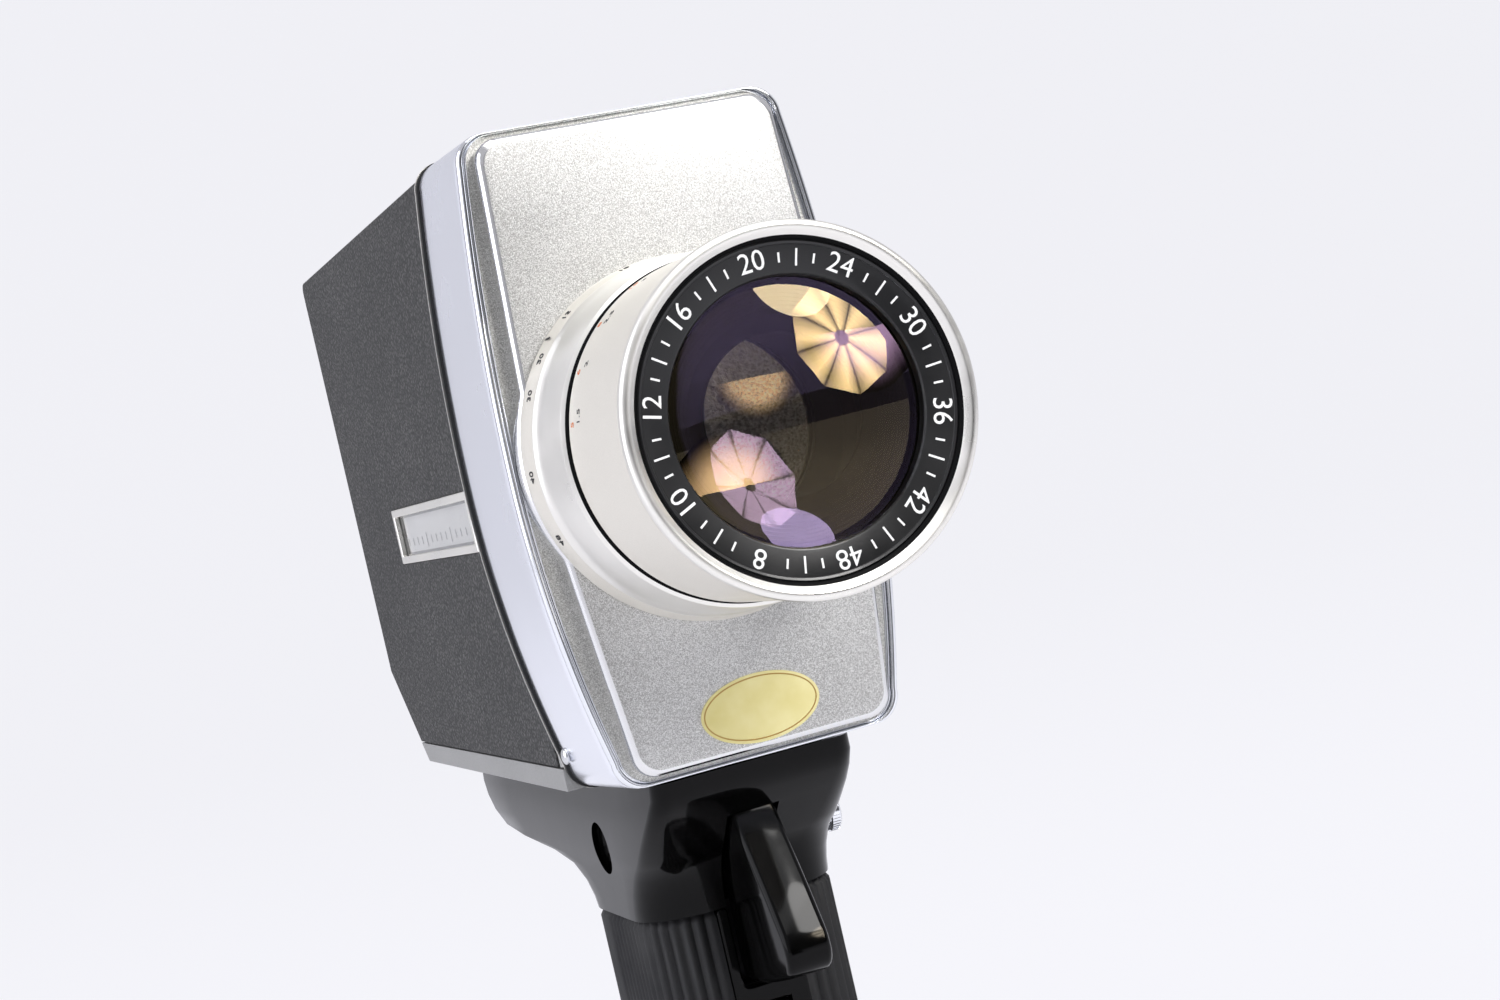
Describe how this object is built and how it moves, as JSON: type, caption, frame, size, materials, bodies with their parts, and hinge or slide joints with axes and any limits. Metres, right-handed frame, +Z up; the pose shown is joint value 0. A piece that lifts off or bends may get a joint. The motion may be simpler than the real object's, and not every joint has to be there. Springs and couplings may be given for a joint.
{
  "type": "cine camera",
  "caption": "Hand-held reflex cine camera: zoom lens in a polished front band, leather-grained film door with a window, sprung trigger and pistol grip.",
  "frame": {"origin": "centre of the tripod socket's mouth, in the flat base of the grip", "axes": "+Z up along the grip, the lens looks along -Y, the film door is on the -X side"},
  "size_m": [0.069, 0.2323, 0.2234],
  "materials": {
    "satin_casting": "satin painted",
    "bright_band": "polished",
    "plate_silver": "bead blasted",
    "lens_silver": "satin anodised",
    "side_grain": "pebble grain",
    "black_seal": "matte",
    "gloss_black": "gloss moulded",
    "grip_black": "matte ribbed",
    "black_anodised": "black anodised",
    "inner_metal": "plain",
    "brass": "turned",
    "coated_glass": "coated",
    "clear_glass": "clear",
    "white_card": "matte",
    "gold_label": "foil",
    "bright_screw": "nickel plated",
    "circuit_brown": "laminate",
    "cell_jacket": "printed jacket",
    "black_rubber": "soft"
  },
  "bodies": {
    "camera": {"body_shell": "satin_casting", "side_cover": "satin_casting", "side_cover_skin": "side_grain", "door_hinge_pin": "inner_metal", "front_band": "bright_band", "band_seal": "black_seal", "front_panel": "plate_silver", "front_frame": "inner_metal", "face_plate": "plate_silver", "oval_label": "gold_label", "lens_tube": "black_anodised", "iris_housing": "black_anodised", "reflex_prism": "clear_glass", "relay_lens_tube": "black_anodised", "film_gate": "inner_metal", "drive_motor": "inner_metal", "circuit_board": "circuit_brown", "exposure_meter": "inner_metal", "finder_column": "black_anodised", "finder_tube": "black_anodised", "eyepiece_glass": "clear_glass", "eyecup": "black_rubber", "grip_head": "gloss_black", "grip_shell": "grip_black", "trigger_bezel": "gloss_black", "trigger_pin": "inner_metal", "remote_socket": "grip_black", "battery_cells": "cell_jacket", "grip_foot": "black_anodised", "tripod_bush": "bright_screw", "screws": "bright_screw"},
    "door": {"film_door": "satin_casting", "film_door_skin": "side_grain", "window_frame": "lens_silver", "window_glass": "clear_glass", "window_card": "white_card"},
    "latch": {"door_latch": "inner_metal"},
    "zoom": {"zoom_ring": "lens_silver", "zoom_lever": "lens_silver"},
    "focus": {"focus_barrel": "lens_silver", "front_cell": "black_anodised", "front_ring": "black_anodised", "front_glass": "coated_glass"},
    "variator": {"variator_cell": "black_anodised", "variator_glass": "coated_glass"},
    "compensator": {"compensator_cell": "black_anodised", "compensator_glass": "coated_glass"},
    "vane": {"aperture_vane": "black_anodised"},
    "claw": {"pulldown_claw": "inner_metal"},
    "shutter": {"shutter_disc": "black_anodised"},
    "pinion": {"motor_pinion": "brass"},
    "takeup": {"takeup_spindle": "inner_metal"},
    "dioptre": {"dioptre_ring": "grip_black"},
    "rocker": {"zoom_rocker": "gloss_black"},
    "speed": {"speed_dial": "lens_silver"},
    "counter": {"counter_dial": "white_card"},
    "trigger_lever": {"trigger": "gloss_black"},
    "lock": {"run_lock": "gloss_black"},
    "button": {"side_button": "bright_screw"},
    "battery_lid": {"battery_door": "grip_black"}
  },
  "joints": [
    {"name": "door_hinge", "type": "hinge", "parent": "camera", "child": "door", "pos_m": [-0.0272, -0.0205, 0.165], "axis": [0, 0, 1], "range_deg": [0, 85]},
    {"name": "latch_slide", "type": "slide", "parent": "camera", "child": "latch", "axis": [0, 0, 1], "range_m": [0, 0.0035], "stiffness_N_per_m": 150, "springref_m": -0.002},
    {"name": "zoom_turn", "type": "hinge", "parent": "camera", "child": "zoom", "pos_m": [0, -0.06, 0.165], "axis": [0, -1, 0], "range_deg": [-55, 55]},
    {"name": "focus_turn", "type": "hinge", "parent": "camera", "child": "focus", "pos_m": [0, -0.08, 0.165], "axis": [0, -1, 0], "range_deg": [-80, 80]},
    {"name": "variator_slide", "type": "slide", "parent": "camera", "child": "variator", "axis": [0, 1, 0], "range_m": [-0.0085, 0.0085]},
    {"name": "compensator_slide", "type": "slide", "parent": "camera", "child": "compensator", "axis": [0, 1, 0], "range_m": [-0.0035, 0.0035]},
    {"name": "vane_turn", "type": "hinge", "parent": "camera", "child": "vane", "pos_m": [0, -0.016, 0.181], "axis": [0, -1, 0], "range_deg": [0, 9], "stiffness_Nm_per_rad": 0.01, "springref_deg": -5.73},
    {"name": "claw_stroke", "type": "slide", "parent": "camera", "child": "claw", "axis": [0, 0, 1], "range_m": [-0.0042, 0]},
    {"name": "shutter_spin", "type": "hinge", "parent": "camera", "child": "shutter", "pos_m": [0, 0.024, 0.144], "axis": [0, 1, 0], "continuous": true},
    {"name": "pinion_spin", "type": "hinge", "parent": "camera", "child": "pinion", "pos_m": [0, 0.022, 0.12785], "axis": [0, 1, 0], "continuous": true},
    {"name": "takeup_spin", "type": "hinge", "parent": "camera", "child": "takeup", "pos_m": [0.01, 0.07, 0.157], "axis": [1, 0, 0], "continuous": true},
    {"name": "dioptre_turn", "type": "hinge", "parent": "camera", "child": "dioptre", "pos_m": [0, 0.118, 0.208], "axis": [0, 1, 0], "range_deg": [-70, 70]},
    {"name": "rocker_tilt", "type": "hinge", "parent": "camera", "child": "rocker", "pos_m": [0, 0.005, 0.2194], "axis": [1, 0, 0], "range_deg": [-5, 5], "stiffness_Nm_per_rad": 0.02},
    {"name": "speed_turn", "type": "hinge", "parent": "camera", "child": "speed", "pos_m": [0.0285, 0.012, 0.177], "axis": [1, 0, 0], "range_deg": [-60, 60]},
    {"name": "counter_turn", "type": "hinge", "parent": "camera", "child": "counter", "pos_m": [0.027, 0.082, 0.175], "axis": [1, 0, 0], "continuous": true},
    {"name": "trigger_pull", "type": "hinge", "parent": "camera", "child": "trigger_lever", "pos_m": [0, -0.029, 0.1045], "axis": [1, 0, 0], "range_deg": [0, 7], "stiffness_Nm_per_rad": 0.3, "springref_deg": -5.73},
    {"name": "lock_slide", "type": "slide", "parent": "camera", "child": "lock", "axis": [0, 0, -1], "range_m": [0, 0.004]},
    {"name": "button_press", "type": "slide", "parent": "camera", "child": "button", "axis": [-1, 0, 0], "range_m": [0, 0.0012], "stiffness_N_per_m": 300, "springref_m": -0.001},
    {"name": "battery_lid_hinge", "type": "hinge", "parent": "camera", "child": "battery_lid", "pos_m": [0, 0.0199, 0.0094], "axis": [-1, 0, 0], "range_deg": [0, 80]}
  ],
  "couplings": [
    {"joint": "variator_slide", "follows": "zoom_turn", "m_per_rad": 0.0082},
    {"joint": "compensator_slide", "follows": "zoom_turn", "m_per_rad": -0.0032},
    {"joint": "pinion_spin", "follows": "shutter_spin", "ratio": -3},
    {"joint": "takeup_spin", "follows": "shutter_spin", "ratio": 0.05},
    {"joint": "counter_turn", "follows": "shutter_spin", "ratio": 0.1}
  ]
}
